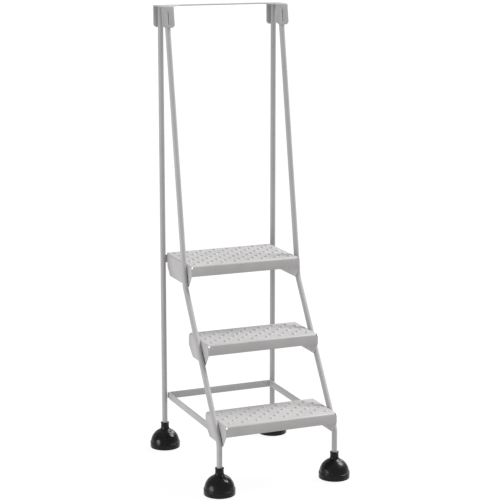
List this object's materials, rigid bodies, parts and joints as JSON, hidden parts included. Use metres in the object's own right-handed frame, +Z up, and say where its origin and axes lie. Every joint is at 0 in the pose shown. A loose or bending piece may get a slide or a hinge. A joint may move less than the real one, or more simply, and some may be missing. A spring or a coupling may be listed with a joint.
{
  "type": "rolling warehouse ladder",
  "caption": "Rolling step ladder of bent steel tube with folded, button-embossed treads, a bracket rail over the handrails, and rubber boots that hide spring-loaded swivel casters.",
  "frame": {"origin": "on the floor, at the centre of the four feet", "axes": "+X to the right and +Y to the back, seen from the front where the user climbs; +Z up"},
  "size_m": [0.536, 0.646, 1.608],
  "materials": {
    "powder_coat": "satin light grey powder coat",
    "rubber": "semi-gloss moulded black rubber",
    "zinc_steel": "zinc-plated steel",
    "spring_steel": "oiled spring wire",
    "nylon": "natural nylon",
    "wheel_rubber": "hard grey rubber"
  },
  "bodies": {
    "frame": {"front_tube_left": "powder_coat", "front_tube_right": "powder_coat", "rear_post_left": "powder_coat", "rear_post_right": "powder_coat", "top_rail": "powder_coat", "tread_lower": "powder_coat", "tread_middle": "powder_coat", "tread_upper": "powder_coat", "base_brace": "powder_coat", "tread_welds": "powder_coat", "rail_welds": "powder_coat", "brace_welds": "powder_coat", "boot_front_left": "rubber", "boot_front_right": "rubber", "boot_rear_left": "rubber", "boot_rear_right": "rubber", "bush_front_left": "zinc_steel", "bush_front_right": "zinc_steel", "bush_rear_left": "zinc_steel", "bush_rear_right": "zinc_steel", "plug_front_left": "zinc_steel", "plug_front_right": "zinc_steel", "plug_rear_left": "zinc_steel", "plug_rear_right": "zinc_steel"},
    "stem_front_left": {"stem_front_left": "zinc_steel", "washer_front_left": "nylon", "spring_front_left": "spring_steel"},
    "swivel_front_left": {"fork_front_left": "zinc_steel", "axle_front_left": "zinc_steel"},
    "wheel_front_left": {"wheel_front_left": "wheel_rubber"},
    "stem_front_right": {"stem_front_right": "zinc_steel", "washer_front_right": "nylon", "spring_front_right": "spring_steel"},
    "swivel_front_right": {"fork_front_right": "zinc_steel", "axle_front_right": "zinc_steel"},
    "wheel_front_right": {"wheel_front_right": "wheel_rubber"},
    "stem_rear_left": {"stem_rear_left": "zinc_steel", "washer_rear_left": "nylon", "spring_rear_left": "spring_steel"},
    "swivel_rear_left": {"fork_rear_left": "zinc_steel", "axle_rear_left": "zinc_steel"},
    "wheel_rear_left": {"wheel_rear_left": "wheel_rubber"},
    "stem_rear_right": {"stem_rear_right": "zinc_steel", "washer_rear_right": "nylon", "spring_rear_right": "spring_steel"},
    "swivel_rear_right": {"fork_rear_right": "zinc_steel", "axle_rear_right": "zinc_steel"},
    "wheel_rear_right": {"wheel_rear_right": "wheel_rubber"}
  },
  "joints": [
    {"name": "lift_front_left", "type": "slide", "parent": "frame", "child": "stem_front_left", "axis": [0, 0, 1], "range_m": [0, 0.008], "stiffness_N_per_m": 8000, "springref_m": -0.01, "deforming": ["spring_front_left"]},
    {"name": "swivel_front_left", "type": "hinge", "parent": "stem_front_left", "child": "swivel_front_left", "pos_m": [-0.214, -0.269, 0.0515], "axis": [0, 0, 1], "continuous": true},
    {"name": "roll_front_left", "type": "hinge", "parent": "swivel_front_left", "child": "wheel_front_left", "pos_m": [-0.214, -0.254, 0.0225], "axis": [1, 0, 0], "continuous": true},
    {"name": "lift_front_right", "type": "slide", "parent": "frame", "child": "stem_front_right", "axis": [0, 0, 1], "range_m": [0, 0.008], "stiffness_N_per_m": 8000, "springref_m": -0.01, "deforming": ["spring_front_right"]},
    {"name": "swivel_front_right", "type": "hinge", "parent": "stem_front_right", "child": "swivel_front_right", "pos_m": [0.214, -0.269, 0.0515], "axis": [0, 0, 1], "continuous": true},
    {"name": "roll_front_right", "type": "hinge", "parent": "swivel_front_right", "child": "wheel_front_right", "pos_m": [0.214, -0.254, 0.0225], "axis": [1, 0, 0], "continuous": true},
    {"name": "lift_rear_left", "type": "slide", "parent": "frame", "child": "stem_rear_left", "axis": [0, 0, 1], "range_m": [0, 0.008], "stiffness_N_per_m": 8000, "springref_m": -0.01, "deforming": ["spring_rear_left"]},
    {"name": "swivel_rear_left", "type": "hinge", "parent": "stem_rear_left", "child": "swivel_rear_left", "pos_m": [-0.214, 0.269, 0.0515], "axis": [0, 0, 1], "continuous": true},
    {"name": "roll_rear_left", "type": "hinge", "parent": "swivel_rear_left", "child": "wheel_rear_left", "pos_m": [-0.214, 0.284, 0.0225], "axis": [1, 0, 0], "continuous": true},
    {"name": "lift_rear_right", "type": "slide", "parent": "frame", "child": "stem_rear_right", "axis": [0, 0, 1], "range_m": [0, 0.008], "stiffness_N_per_m": 8000, "springref_m": -0.01, "deforming": ["spring_rear_right"]},
    {"name": "swivel_rear_right", "type": "hinge", "parent": "stem_rear_right", "child": "swivel_rear_right", "pos_m": [0.214, 0.269, 0.0515], "axis": [0, 0, 1], "continuous": true},
    {"name": "roll_rear_right", "type": "hinge", "parent": "swivel_rear_right", "child": "wheel_rear_right", "pos_m": [0.214, 0.284, 0.0225], "axis": [1, 0, 0], "continuous": true}
  ]
}
